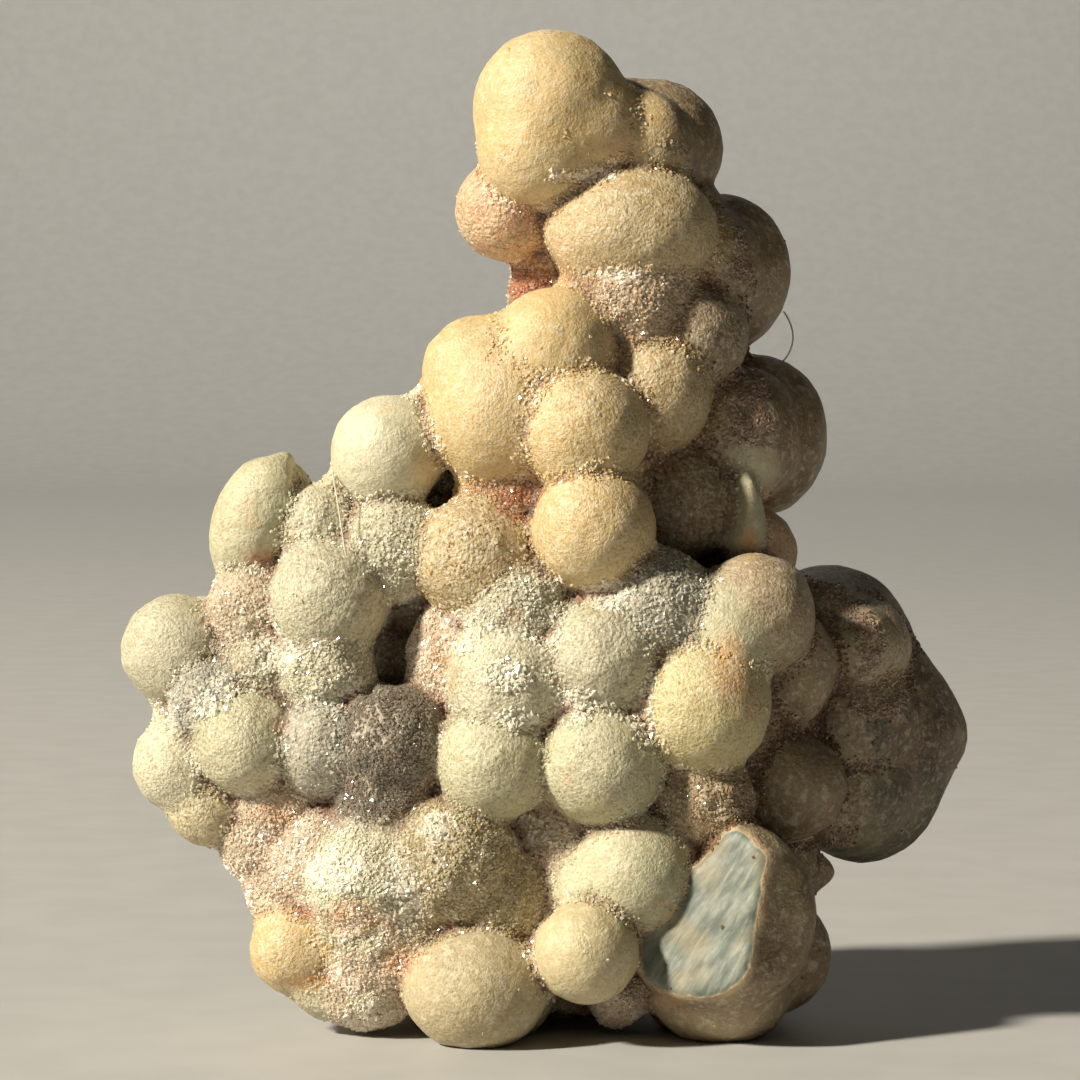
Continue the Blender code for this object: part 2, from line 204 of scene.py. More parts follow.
rearRight = {
    # painted shade: the rear mass is toned dark as if it lay in shadow
    "rear_a": Lump(17.0, 23.8, 6.0, 4.6, soft=0.56, tone="shadedUmber", druse=0.05),
    "rear_b": Lump(19.0, 19.2, 7.0, 4.9, soft=0.56, tone="shadedUmber", druse=0.0),
    "rear_tip": Lump(22.6, 18.4, 6.6, 2.3, soft=0.56, tone="shadedUmber", druse=0.0),
    "rear_c": Lump(18.8, 15.2, 6.6, 4.4, soft=0.56, tone="shadedSlate", druse=0.0),
}

heels = {
    "heel_left": Lump(-8.0, 5.7, 8.0, 3.6, tone="tan", druse=0.1),
    "heel_middle": Lump(1.0, 6.6, 9.0, 4.2, tone="cream", druse=0.1),
    "heel_right": Lump(10.0, 5.9, 8.6, 3.8, tone="tan", druse=0.1),
}

core = {
    "core_low": Lump(0.0, 8.0, 0.0, 6.5, wide=2.0),
    "core_middle": Lump(4.0, 19.5, 0.5, 7.5, wide=1.6, tall=1.2),
    "core_wing": Lump(-13.5, 20.0, 1.0, 5.0, wide=1.5, tall=1.9),
    "core_armpit": Lump(-7.5, 28.5, 1.8, 5.2, wide=1.3),
    "core_shoulder": Lump(1.5, 34.0, 0.2, 5.5, wide=1.2, tall=1.5),
    "core_neck": Lump(5.0, 45.0, 0.4, 4.0, tall=2.2),
    "bed_field": Lump(1.5, 21.0, -2.6, 6.2, wide=1.35, tall=1.4),
    "bed_foot": Lump(-8.6, 8.0, -3.4, 5.6, wide=1.15, tall=1.1),
    "bed_wing": Lump(-15.5, 20.0, -1.4, 4.4, wide=1.5, tall=2.0),
    "bed_shoulder": Lump(-1.2, 39.2, -3.2, 4.0, wide=1.35),
    "bed_neck": Lump(6.5, 42.0, -0.6, 4.2, tall=1.5),
    "bed_rear": Lump(18.6, 19.2, 6.4, 4.6, wide=1.1, tall=1.4, turn=-28.0),
}

breaks = {
    "cleft": [
        Break(-27.0, 14.0, 2.8),
        Break(34.0, 4.0, 4.5, fresh=False),
        Break(-90.0, 43.0, 3.0, fresh=False),
    ],
    "broken_bud": [Break(84.0, 4.0, 2.25, fresh=False), Break(-80.0, 73.0, 3.2, fresh=False)],
    "thorn": [Break(-50.0, 10.0, 0.3, fresh=False)],
}

web = {"reach": 1.12, "radius": 0.54, "back": 0.42}
root = {"radius": 0.86, "back": 0.8, "inward": 0.25, "middleDepth": 1.0}

rear = {
    "seed": 11,
    "rows": 11,
    "columns": 4,
    "lowest": 3.5,
    "rowStep": 5.0,
    "columnStep": 6.2,
    "jitter": 1.1,
    "radii": (2.6, 4.0),
    "depthAtEdge": 0.8,
    "depthGain": 0.66,
    "mostReach": 14.0,
    "uneven": 0.5,
    "reachStep": 0.5,
    "coverMargin": 1.2,
    "closeMargin": 0.3,
    "closeStep": 0.1,
    "coverSamples": 16,
    "tones": ("cream", "tan", "honey", "blush", "celadon", "tan"),
    "soft": 0.25,
}

# Where the front is stained: across, up and size in millimetres on the reading plane
stains = {
    "ridge": (10.9, 22.2, 1.5, 3.2, "amber", 0.8),
    "ridgeLow": (12.0, 20.0, 0.9, 2.2, "amber", 0.5),
    "fieldB": (-1.9, 25.5, 0.9, 0.9, "rust", 0.4),
    "crownLow": (4.3, 53.0, 1.4, 1.6, "salmon", 0.6),
    "napeRight": (-1.2, 49.0, 1.6, 1.9, "rust", 0.5),
    "cheekLeft": (0.9, 46.6, 1.0, 2.2, "salmon", 0.6),
    "underBud": (-16.8, 28.9, 1.6, 0.7, "rust", 0.9),
    "armpit": (-1.7, 31.8, 1.9, 1.3, "rust", 0.9),
    "footCrack": (-14.0, 3.6, 1.6, 0.7, "amber", 0.8),
    "thornFoot": (12.1, 29.6, 0.9, 1.4, "amber", 0.8),
    "sole": (6.6, 2.4, 2.2, 0.5, "salmon", 0.6),
    "wingLow": (-15.8, 18.9, 0.8, 0.9, "rust", 0.5),
    "footPeach": (-11.5, 7.4, 2.4, 1.6, "salmon", 0.8),
    "footPeachLow": (-8.2, 4.6, 2.0, 1.6, "salmon", 0.85),
    "footRust": (-14.2, 7.8, 1.1, 0.8, "rust", 0.8),
    "footCrevice": (-9.2, 7.0, 0.7, 1.3, "rust", 0.6),
    "wingFoot": (-15.8, 13.9, 2.2, 1.7, "salmon", 0.5),
    "wingTopRight": (-7.0, 34.2, 1.2, 1.6, "amber", 0.4),
    "heartSide": (5.0, 12.6, 2.2, 0.8, "blush", 0.5),
    "slope": (-5.8, 22.6, 1.8, 3.2, "salmon", 0.45),
    "base": (-10.6, 2.2, 2.2, 1.0, "sage", 0.7),
}

# Where the druse is thick and white, its extra whiteness partly a painted highlight for the glints:
# across, up and size on the reading plane
frostAndGlintSpots = {
    "fieldMiddle": (2.0, 20.0, 1.7, 1.8),
    "fieldLeft": (-2.4, 21.8, 2.0, 1.6),
    "fieldSeam": (-1.6, 19.3, 2.0, 0.9),
    "ridgeFoot": (5.9, 18.9, 1.0, 2.0),
    "fieldTop": (3.6, 26.6, 2.4, 1.3),
    "footTop": (-6.5, 12.8, 1.6, 1.3),
    "footLeft": (-12.4, 10.2, 2.4, 2.0),
    "footMiddle": (-8.4, 8.6, 1.6, 2.2),
    "wingSteel": (-19.4, 20.6, 1.6, 1.6),
    "wingMiddle": (-15.6, 23.0, 2.4, 1.4),
    "crownLip": (2.2, 51.4, 3.0, 0.6),
    "cheekFoot": (4.2, 45.6, 2.2, 0.5),
    "hollowLip": (-1.0, 12.6, 2.0, 1.4),
    "slopeTop": (-5.2, 24.2, 1.4, 2.0),
}

body = {
    "ballSteps": 3,
    "firstVoxel": 0.32,
    "voxel": 0.265,
    "meltRounds": 3,
    "meltReach": 2.5,
    "deepest": -1.0,        # mm inside a lump, past which it pulls no harder
    "plainSoft": 0.22,
    "softSpread": 0.4,
    "leastSlope": 0.4,
    "mostStep": 0.5,
    "smoothFactor": 0.5,
    "smoothTimes": 3,
    "finishTimes": 2,
    "knobSize": 1.0,
    "knobHeight": 0.24,
    "unevenSize": 2.4,      # mm between the swells that keep the lumps from being true balls
    "unevenHeight": 0.15,
    "pebbleSize": 0.6,
    "pebbleHeight": 0.05,
    "keepTriangles": 198000,
}


def hiddenBy(cover, across, up, radius, margin=rear["coverMargin"]):
    for step in range(rear["coverSamples"]):
        angle = math.tau * step / rear["coverSamples"]
        x = across + (radius + margin) * math.cos(angle)
        z = up + (radius + margin) * math.sin(angle)
        if not any(
            math.hypot((x - lump.across) / lump.wide, (z - lump.up) / lump.tall)
            < lump.radius + margin
            for lump in cover
        ):
            return False
    return True


def rearLumps(front):
    chance = random.Random(rear["seed"])
    found = {}
    cover = [*front.values(), *core.values()]
    for row, column in product(range(rear["rows"]), range(-rear["columns"], rear["columns"] + 1)):
        across = (column + 0.5 * (row % 2)) * rear["columnStep"]
        across += chance.uniform(-rear["jitter"], rear["jitter"])
        up = rear["lowest"] + row * rear["rowStep"] + chance.uniform(-rear["jitter"], rear["jitter"])
        radius = chance.uniform(*rear["radii"])
        if not hiddenBy(cover, across, up, radius):
            continue
        reach = radius
        while reach < rear["mostReach"] and hiddenBy(cover, across, up, reach + rear["reachStep"]):
            reach += rear["reachStep"]
        depth = rear["depthAtEdge"] + rear["depthGain"] * reach
        depth += chance.uniform(-rear["uneven"], rear["uneven"])
        while radius > rear["radii"][0] and not hiddenBy(cover, across, up, radius, rear["closeMargin"]):
            radius -= rear["closeStep"]
        tone = rear["tones"][(row * 5 + column * 3) % len(rear["tones"])]
        found[f"rear_{row}_{column}"] = Lump(
            across, up, depth, radius, soft=rear["soft"], tone=tone, druse=0.25,
        )
    return found


def rootOf(lump):
    inward = -math.copysign(min(abs(lump.across), root["inward"] * lump.radius), lump.across)
    back = math.copysign(root["back"] * lump.radius, root["middleDepth"] - lump.depth)
    return lump._replace(
        across=lump.across + inward,
        depth=lump.depth + back,
        radius=root["radius"] * lump.radius,
    )


def webBetween(one, other):
    small = min(one.radius, other.radius)
    gap = Vector((other.across - one.across, other.depth - one.depth, other.up - one.up))
    if gap.length > web["reach"] * (one.radius + other.radius):
        return None
    share = one.radius / (one.radius + other.radius)
    depth = one.depth + share * gap.y
    return Lump(
        one.across + share * gap.x,
        one.up + share * gap.z,
        depth + math.copysign(web["back"] * small, root["middleDepth"] - depth),
        web["radius"] * small,
    )


def placed(lump):
    share = (lump.depth - eye.y) / -eye.y
    middle = eye + (Vector((lump.across, 0.0, lump.up)) - eye) * share
    return middle + view["shift"], lump.radius * share


def facing(azimuth, elevation):
    across = math.radians(azimuth)
    up = math.radians(elevation)
    return Vector((
        math.sin(across) * math.cos(up),
        -math.cos(across) * math.cos(up),
        math.sin(up),
    ))


def lumpFrame(lump):  # turns and stretches a unit ball into the lump, in millimetres
    middle, radius = placed(lump)
    stretch = Matrix.Diagonal((lump.wide * radius, lump.deep * radius, lump.tall * radius, 1.0))
    turn = Matrix.Rotation(math.radians(lump.turn), 4, "Y")
    return Matrix.Translation(middle) @ turn @ stretch


def planesOf(name, lump):  # where the lump of this name broke, each as a point and its facing
    middle, _ = placed(lump)
    sides = [(facing(side.azimuth, side.elevation), side.reach) for side in breaks.get(name, [])]
    return [(middle + normal * reach, normal) for normal, reach in sides]


def onlySelect(*pieces):
    bpy.ops.object.select_all(action="DESELECT")
    for piece in pieces:
        piece.select_set(True)
    bpy.context.view_layer.objects.active = pieces[0]


def applyModifier(piece, kind, **settings):
    onlySelect(piece)
    modifier = piece.modifiers.new(kind.lower(), kind)
    for name, value in settings.items():
        setattr(modifier, name, value)
    bpy.ops.object.modifier_apply(modifier=modifier.name)


# The fused mass


def makeBall():
    bpy.ops.object.select_all(action="DESELECT")
    bpy.ops.mesh.primitive_ico_sphere_add(subdivisions=body["ballSteps"], radius=1.0)
    return bpy.context.active_object


def addLump(ball, lump, planes):
    copy = ball.copy()
    copy.data = ball.data.copy()
    bpy.context.scene.collection.objects.link(copy)
    copy.data.transform(Matrix.Scale(mm, 4) @ lumpFrame(lump))
    for point, normal in planes:
        onlySelect(copy)
        bpy.ops.object.mode_set(mode="EDIT")
        bpy.ops.mesh.select_all(action="SELECT")
        bpy.ops.mesh.bisect(plane_co=point * mm, plane_no=normal, use_fill=True, clear_outer=True)
        bpy.ops.object.mode_set(mode="OBJECT")
    return copy


def fillers(grown):  # webs, roots and core: what carries the lumps and floors their creases
    found = []
    for (name, one), (otherName, other) in combinations(grown.items(), 2):
        between = webBetween(one, other)
        if between:
            found.append((between, planesOf(name, one) + planesOf(otherName, other)))
    found += [(rootOf(lump), []) for lump in grown.values()]
    found += [(lump, []) for lump in core.values()]
    return found


def reachOf(points, lump, planes):  # how far outside the lump, and the way out of it
    inward = np.array(lumpFrame(lump).inverted().to_3x3())
    apart = points - np.array(placed(lump)[0])
    local = apart @ inward.T
    length = np.maximum(np.linalg.norm(local, axis=1), 0.001)
    reach = np.linalg.norm(apart, axis=1) * (1.0 - 1.0 / length)
    way = local @ inward
    way /= np.linalg.norm(way, axis=1, keepdims=True)
    for point, normal in planes:
        beyond = (points - np.array(point)) @ np.array(normal)
        broken = beyond > reach
        reach[broken] = beyond[broken]
        way[broken] = normal
    return reach, way


def nearTo(points, lump):
    middle, radius = placed(lump)
    most = radius * max(lump.wide, lump.tall, lump.deep) + body["meltReach"]
    return np.flatnonzero(((points - np.array(middle)) ** 2).sum(axis=1) < most * most)


def melt(mass, shown, carried, rounds):  # fills each crease as softly as its lumps ask
    points = readCorners(mass) / mm
    soft = None
    for _ in range(rounds):
        if soft is None:
            share = np.full(len(points), 1e-6)
            softness = share * body["plainSoft"]
            for lump, planes in shown:
                near = nearTo(points, lump)
                reach, _ = reachOf(points[near], lump, planes)
                weight = np.exp(-np.maximum(reach, body["deepest"]) / body["softSpread"])
                share[near] += weight
                softness[near] += weight * lump.soft
            soft = softness / share
        share = np.full(len(points), 1e-12)
        pull = np.zeros_like(points)
        for lump, planes in shown:
            near = nearTo(points, lump)
            reach, way = reachOf(points[near], lump, planes)
            weight = np.exp(-np.maximum(reach, body["deepest"]) / soft[near])
            share[near] += weight
            pull[near] += weight[:, None] * way
        best = np.full(len(points), body["meltReach"])
        bestWay = np.zeros_like(points)
        for lump, planes in carried:
            near = nearTo(points, lump)
            reach, way = reachOf(points[near], lump, planes)
            closer = reach < best[near]
            best[near[closer]] = reach[closer]
            bestWay[near[closer]] = way[closer]
        weight = np.exp(-np.maximum(best, body["deepest"]) / soft)
        share += weight
        pull = (pull + weight[:, None] * bestWay) / share[:, None]
        slope = np.maximum((pull * pull).sum(axis=1), body["leastSlope"])
        step = (soft * np.log(share) / slope)[:, None] * pull
        length = np.maximum(np.linalg.norm(step, axis=1, keepdims=True), body["mostStep"])
        points = points + step * (body["mostStep"] / length)
    writeCorners(mass, points * mm)


def makeMass(grown):
    shown = [(lump, planesOf(name, lump)) for name, lump in grown.items()]
    carried = fillers(grown)
    ball = makeBall()
    pieces = [addLump(ball, lump, planes) for lump, planes in shown + carried]
    bpy.data.objects.remove(ball)
    onlySelect(*pieces)
    bpy.ops.object.join()
    mass = bpy.context.active_object
    mass.name = "chalcedony"
    mass.data.name = "chalcedony"
    print("balls joined:", len(pieces))
    applyModifier(mass, "REMESH", mode="VOXEL", voxel_size=body["firstVoxel"] * mm)
    keepOuterSkin(mass)
    melt(mass, shown, carried, body["meltRounds"])
    applyModifier(mass, "REMESH", mode="VOXEL", voxel_size=body["voxel"] * mm)
    keepOuterSkin(mass)
    melt(mass, shown, carried, 1)
    print("skin:", len(mass.data.polygons), "faces")
    applyModifier(mass, "SMOOTH", factor=body["smoothFactor"], iterations=body["smoothTimes"])
    swellOut(mass, "swell", body["unevenSize"], body["unevenHeight"])
    swellOut(mass, "pebble", body["pebbleSize"], body["pebbleHeight"])
    mass.data.calc_loop_triangles()
    ratio = body["keepTriangles"] / len(mass.data.loop_triangles)
    applyModifier(mass, "DECIMATE", ratio=min(ratio, 1.0), use_collapse_triangulate=True)
    applyModifier(mass, "SMOOTH", factor=body["smoothFactor"], iterations=body["finishTimes"])
    return mass


def swellOut(mass, name, size, height):
    clouds = bpy.data.textures.new(name, "CLOUDS")
    clouds.noise_basis = "IMPROVED_PERLIN"
    clouds.noise_scale = size * mm
    applyModifier(
        mass, "DISPLACE", texture=clouds, texture_coords="LOCAL", mid_level=0.5,
        strength=height * 2.0 * mm,
    )


def keepOuterSkin(mass):
    onlySelect(mass)
    bpy.ops.object.mode_set(mode="EDIT")
    bpy.ops.mesh.select_mode(type="VERT")
    bpy.ops.mesh.select_all(action="DESELECT")
    bpy.ops.object.mode_set(mode="OBJECT")
    highest = max(mass.data.vertices, key=lambda corner: corner.co.z)
    highest.select = True
    bpy.ops.object.mode_set(mode="EDIT")
    bpy.ops.mesh.select_linked()
    bpy.ops.mesh.select_all(action="INVERT")
    bpy.ops.mesh.delete(type="VERT")
    bpy.ops.object.mode_set(mode="OBJECT")


def restFlat(mass):  # presses what hangs under the resting plane flat onto it
    corners = readCorners(mass)
    corners[:, 2] = np.maximum(corners[:, 2], 0.0)
    writeCorners(mass, corners)


def writeCorners(piece, corners):
    piece.data.vertices.foreach_set("co", corners.astype(np.float32).ravel())
    piece.data.update()


def readCorners(piece):
    corners = np.empty(len(piece.data.vertices) * 3, np.float32)
    piece.data.vertices.foreach_get("co", corners)
    return corners.reshape(-1, 3).astype(np.float64)


def readNormals(piece):
    normals = np.empty(len(piece.data.vertices) * 3, np.float32)
    piece.data.vertex_normals.foreach_get("vector", normals)
    return normals.reshape(-1, 3).astype(np.float64)


def readEdges(piece):
    edges = np.empty(len(piece.data.edges) * 2, np.int32)
    piece.data.edges.foreach_get("vertices", edges)
    return edges.reshape(-1, 2)


def averaged(values, edges, times):  # each corner's value blended with its neighbours'
    count = np.bincount(edges.ravel(), minlength=len(values))[:, None]
    for _ in range(times):
        total = np.zeros_like(values)
        for column in range(values.shape[1]):
            total[:, column] = np.bincount(
                edges[:, 0], weights=values[edges[:, 1], column], minlength=len(values)
            ) + np.bincount(edges[:, 1], weights=values[edges[:, 0], column], minlength=len(values))
        values = 0.5 * values + 0.5 * total / np.maximum(count, 1)
    return values


def smoothStep(low, high, values):  # low may be the greater, for a share that falls
    share = np.clip((values - low) / (high - low), 0.0, 1.0)
    return share * share * (3.0 - 2.0 * share)


def readingPlane(corners):  # where the eye sees each corner on the plane y = 0
    points = corners / mm - np.array(view["shift"])
    share = eye.y / (eye.y - points[:, 1])
    across = points[:, 0] * share
    up = eye.z + (points[:, 2] - eye.z) * share
    return across, up


def storeValue(piece, name, values):
    layer = piece.data.attributes.new(name, "FLOAT", "POINT")
    layer.data.foreach_set("value", values.astype(np.float32))


def storeColour(piece, name, colours):
    layer = piece.data.attributes.new(name, "FLOAT_COLOR", "POINT")
    full = np.c_[colours, np.ones(len(colours))].astype(np.float32)
    layer.data.foreach_set("color", full.ravel())


marking = {
    "toneSpread": 0.25,
    "toneReach": (-0.5, 4.0),
    "breakSkin": 0.5,       # mm off a plane of fracture that still count as broken
    "breakRim": 0.25,
    "breakLevel": 0.7,
    "bed": (0.7, 1.5),      # mm off every lump, where the bed between them starts and is full
    "bedDruse": (0.04, 0.2),
    "frontGain": 2.0,
    "stainFull": 0.3,
    "frostFull": 0.4,
    "creaseRounds": 14,
    "breakRounds": 8,
}


def spotAt(across, up, x, z, wide, tall, full):  # 1 inside the spot, falling to 0 at its edge
    return smoothStep(1.0, full, np.hypot((across - x) / wide, (up - z) / tall))


def markMass(mass, grown):  # tone, creases, druse and fracture, kept on the corners
    corners = readCorners(mass)
    edges = readEdges(mass)
    normals = readNormals(mass)
    points = corners / mm
    share = np.full(len(points), 1e-9)
    tone = np.zeros_like(points)
    druse = np.zeros(len(points))
    nearest = np.full(len(points), body["meltReach"])
    fracture = np.zeros(len(points))
    for name, lump in grown.items():
        near = nearTo(points, lump)
        planes = planesOf(name, lump)
        reach, _ = reachOf(points[near], lump, planes)
        weight = np.exp(-np.clip(reach, *marking["toneReach"]) / marking["toneSpread"])
        share[near] += weight
        tone[near] += weight[:, None] * np.array(tones[lump.tone])
        druse[near] += weight * lump.druse
        nearest[near] = np.minimum(nearest[near], reach)
        whole, _ = reachOf(points[near], lump, [])
        for side, (point, normal) in zip(breaks.get(name, []), planes):
            beyond = (points[near] - np.array(point)) @ np.array(normal)
            level = normals[near] @ np.array(normal)
            broken = side.fresh & (np.abs(beyond) < marking["breakSkin"])
            broken &= (whole < marking["breakRim"]) & (level > marking["breakLevel"])
            fracture[near] = np.maximum(fracture[near], broken.astype(float))
    tone /= share[:, None]
    druse /= share
    bed = smoothStep(*marking["bed"], nearest) * smoothStep(*marking["bedDruse"], druse)
    tone += (np.array(tones["bed"]) - tone) * bed[:, None]
    druse = np.maximum(druse, bed)
    across, up = readingPlane(corners)
    front = np.clip(-marking["frontGain"] * normals[:, 1], 0.0, 1.0)
    for x, z, wide, tall, stainTone, strength in stains.values():
        spot = spotAt(across, up, x, z, wide, tall, marking["stainFull"])
        amount = (spot * strength * front)[:, None]
        tone += (np.array(tones[stainTone]) - tone) * amount
    frostAndGlint = np.zeros(len(points))
    for spot in frostAndGlintSpots.values():
        frostAndGlint = np.maximum(frostAndGlint, spotAt(across, up, *spot, marking["frostFull"]) * front)
    druse = np.maximum(druse, frostAndGlint)
    soft = averaged(corners, edges, marking["creaseRounds"])
    crease = np.einsum("ij,ij->i", soft - corners, normals) / mm
    fracture = averaged(fracture[:, None], edges, marking["breakRounds"])[:, 0]
    storeColour(mass, "tone", tone)
    storeValue(mass, "druse", druse)
    storeValue(mass, "crease", crease)
    storeValue(mass, "fracture", fracture)
    print("deepest crease:", crease.max().round(2), "mm")
    return {
        "corners": corners, "normals": normals, "tone": tone, "druse": druse,
        "crease": crease, "fracture": fracture, "frostAndGlint": frostAndGlint,
    }


def noiseAt(corners, size):
    return np.array([noise.noise(Vector(corner) / (size * mm)) for corner in corners])


def addKnobs(mass, marks):  # small swells where the druse is thick
    height = noiseAt(marks["corners"], body["knobSize"]) * marks["druse"] * (1.0 - marks["fracture"])
    marks["corners"] = marks["corners"] + marks["normals"] * (height * body["knobHeight"] * mm)[:, None]
    marks["corners"][:, 2] = np.maximum(marks["corners"][:, 2], 0.0)
    writeCorners(mass, marks["corners"])


# The drusy crust


crust = {
    "seed": 5,
    "pieces": 4,
    "grainsPerPiece": 24500,
    "sides": 4,
    "tip": 0.6,             # how far a grain's two points stand off its waist, in its widths
    "heel": -0.4,
    "sizes": (0.20, 0.56),  # mm, across a grain
    "sizeSpread": (1.5, 2.8),
    "coarse": (0.5, 0.5, 0.6),      # everywhere, more in a clump, and more in frost
    "tall": (0.6, 0.95),
    "sink": 0.08,
    "tilt": 0.66,
    # grains in frost spots are whiter, partly as painted highlight
    "shade": (0.65, 0.35, 0.25),    # by chance, more in a clump, and more in frost
    "paleTone": 0.40,       # grains on stone darker than this are darker too
    "leastPale": 0.4,
    "crease": (-0.025, 0.08),       # mm of crease where the drusy seams start and are full
    "seamShare": 0.9,
    "seamDruse": (0.0, 0.07),
    "thickDruse": (0.42, 1.0),
    "bare": (0.2, 0.6),
    "patch": (0.8, 1.1),
    "strays": 0.0004,
    "clumpSize": 1.5,
    "clump": (0.3, 1.4),
    "clumpDruse": (0.4, 0.3),
    "clumpFrost": 0.6,
}


def wantGrains(marks):  # how many grains each spot wants, and how they clump
    patches = noiseAt(marks["corners"], crust["clumpSize"])
    seam = smoothStep(*crust["crease"], marks["crease"]) * crust["seamShare"]
    seam *= smoothStep(*crust["seamDruse"], marks["druse"])
    drusy = np.clip(seam + smoothStep(*crust["thickDruse"], marks["druse"]), 0.0, 1.0)
    level, gain = crust["patch"]
    bare = smoothStep(*crust["bare"], marks["fracture"])
    wanted = np.clip(drusy * (level + gain * patches), 0.0, 1.0) * (1.0 - bare)
    marks["wanted"] = wanted + crust["strays"]
    level, gain = crust["clump"]
    plain, more = crust["clumpDruse"]
    clump = level + gain * patches + more * (marks["druse"] - plain) + crust["clumpFrost"] * marks["frostAndGlint"]
    marks["clump"] = np.clip(clump, 0.0, 1.0)


def crystalCorners():  # a grain with a point at each end, in unit size
    bpy.ops.object.select_all(action="DESELECT")
    bpy.ops.mesh.primitive_cone_add(
        vertices=crust["sides"], radius1=0.5, radius2=0.0, depth=crust["tip"], end_fill_type="TRIFAN",
        location=(0.0, 0.0, 0.5 * crust["tip"]),
    )
    crystal = bpy.context.active_object
    bpy.ops.object.transform_apply(location=True, rotation=True, scale=True)
    for corner in crystal.data.vertices:
        if corner.co.xy.length < 0.1 and corner.co.z < 0.5 * crust["tip"]:
            corner.co.z = crust["heel"]
    corners = np.array([corner.co for corner in crystal.data.vertices])
    faces = np.array([face.vertices for face in crystal.data.polygons])
    bpy.data.objects.remove(crystal)
    return corners, faces


def spreadGrains(mass, marks, chance, count):  # random spots on the mass, most where it is drusy
    mass.data.calc_loop_triangles()
    faces = np.empty(len(mass.data.loop_triangles) * 3, np.int32)
    mass.data.loop_triangles.foreach_get("vertices", faces)
    faces = faces.reshape(-1, 3)
    corners = marks["corners"]
    a, b, c = (corners[faces[:, k]] for k in range(3))
    area = 0.5 * np.linalg.norm(np.cross(b - a, c - a), axis=1)
    want = marks["wanted"][faces].mean(axis=1)
    share = area * want
    picked = chance.choice(len(faces), size=count, p=share / share.sum())
    mixU = chance.random(count)
    mixV = chance.random(count)
    over = mixU + mixV > 1.0
    mixU[over] = 1.0 - mixU[over]
    mixV[over] = 1.0 - mixV[over]
    blend = np.stack([1.0 - mixU - mixV, mixU, mixV], axis=1)

    def between(values):
        return np.einsum("ij,ij...->i...", blend, values[faces[picked]])

    kept = ("corners", "normals", "tone", "clump", "crease", "frostAndGlint")
    return {name: between(marks[name]) for name in kept}


def makeCrust(mass, marks, index):
    chance = np.random.default_rng(crust["seed"] + index)
    count = crust["grainsPerPiece"]
    spots = spreadGrains(mass, marks, chance, count)
    unit, faces = crystalCorners()
    axis = spots["normals"] + crust["tilt"] * chance.normal(size=(count, 3))
    axis /= np.linalg.norm(axis, axis=1, keepdims=True)
    side = np.cross(axis, chance.normal(size=(count, 3)))
    side /= np.linalg.norm(side, axis=1, keepdims=True)
    other = np.cross(axis, side)
    low, high = crust["sizes"]
    plain, clumped, frosted = crust["coarse"]
    coarse = plain + clumped * spots["clump"] + frosted * spots["frostAndGlint"]
    size = (low + (high - low) * chance.beta(*crust["sizeSpread"], count) * coarse) * mm
    tall = size * chance.uniform(*crust["tall"], count)
    places = (
        spots["corners"][:, None, :]
        - spots["normals"][:, None, :] * (crust["sink"] * size)[:, None, None]
        + unit[None, :, 0, None] * (side * size[:, None])[:, None, :]
        + unit[None, :, 1, None] * (other * size[:, None])[:, None, :]
        + unit[None, :, 2, None] * (axis * tall[:, None])[:, None, :]
    ).reshape(-1, 3)
    places[:, 2] = np.maximum(places[:, 2], 0.0)
    links = (faces[None, :, :] + (np.arange(count) * len(unit))[:, None, None]).reshape(-1, 3)
    mesh = bpy.data.meshes.new(f"druse_{index + 1}")
    mesh.from_pydata(places.tolist(), [], links.tolist())
    mesh.update()
    piece = bpy.data.objects.new(f"druse_{index + 1}", mesh)
    bpy.context.scene.collection.objects.link(piece)
    plain, clumped, frosted = crust["shade"]
    # painted highlight in part: frost spots make the grains whiter where the glints fall
    shade = plain * chance.random(count) + clumped * spots["clump"] + frosted * spots["frostAndGlint"]
    pale = spots["tone"].mean(axis=1) / crust["paleTone"] + 0.5 * spots["frostAndGlint"]
    shade = np.clip(shade, 0.0, 1.0) * np.clip(pale, crust["leastPale"], 1.0)
    storeColour(piece, "tone", np.repeat(spots["tone"], len(unit), axis=0))
    storeValue(piece, "shade", np.repeat(shade, len(unit)))
    storeValue(piece, "crease", np.repeat(spots["crease"], len(unit)))
    return piece


lint = {
    "thick": 0.05,
    "fibres": (
        ((-12.6, 33.9, -4.2), (-12.2, 31.9, -6.6), (-12.1, 30.6, -7.4), (-11.8, 29.0, -7.6)),
        ((14.0, 12.1, -4.2), (15.0, 11.9, -5.4), (15.9, 12.3, -5.2)),
        ((14.1, 43.4, 3.0), (14.9, 42.3, 2.4), (14.8, 41.2, 2.2), (14.0, 40.4, 3.0)),
        ((13.9, 9.9, -4.0), (14.7, 10.7, -5.0), (14.9, 11.6, -4.8)),
    ),
}


def addLint():  # fibres of dirt caught on the druse: across, up and depth of each bend
    curve = bpy.data.curves.new("lint", "CURVE")
    curve.dimensions = "3D"
    curve.bevel_depth = lint["thick"] * mm
    curve.bevel_resolution = 1
    curve.use_fill_caps = True
    for bends in lint["fibres"]:
        spline = curve.splines.new("NURBS")
        spline.points.add(len(bends) - 1)
        spline.use_endpoint_u = True
        for point, (across, up, depth) in zip(spline.points, bends):
            place = placed(Lump(across, up, depth, 0.1))[0] * mm
            point.co = (*place, 1.0)
    fibres = bpy.data.objects.new("lint", curve)
    bpy.context.scene.collection.objects.link(fibres)
    onlySelect(fibres)
    bpy.ops.object.convert(target="MESH")
    return bpy.context.active_object


# Shader maths: a Value wraps a socket, and Python operators on it add Math nodes


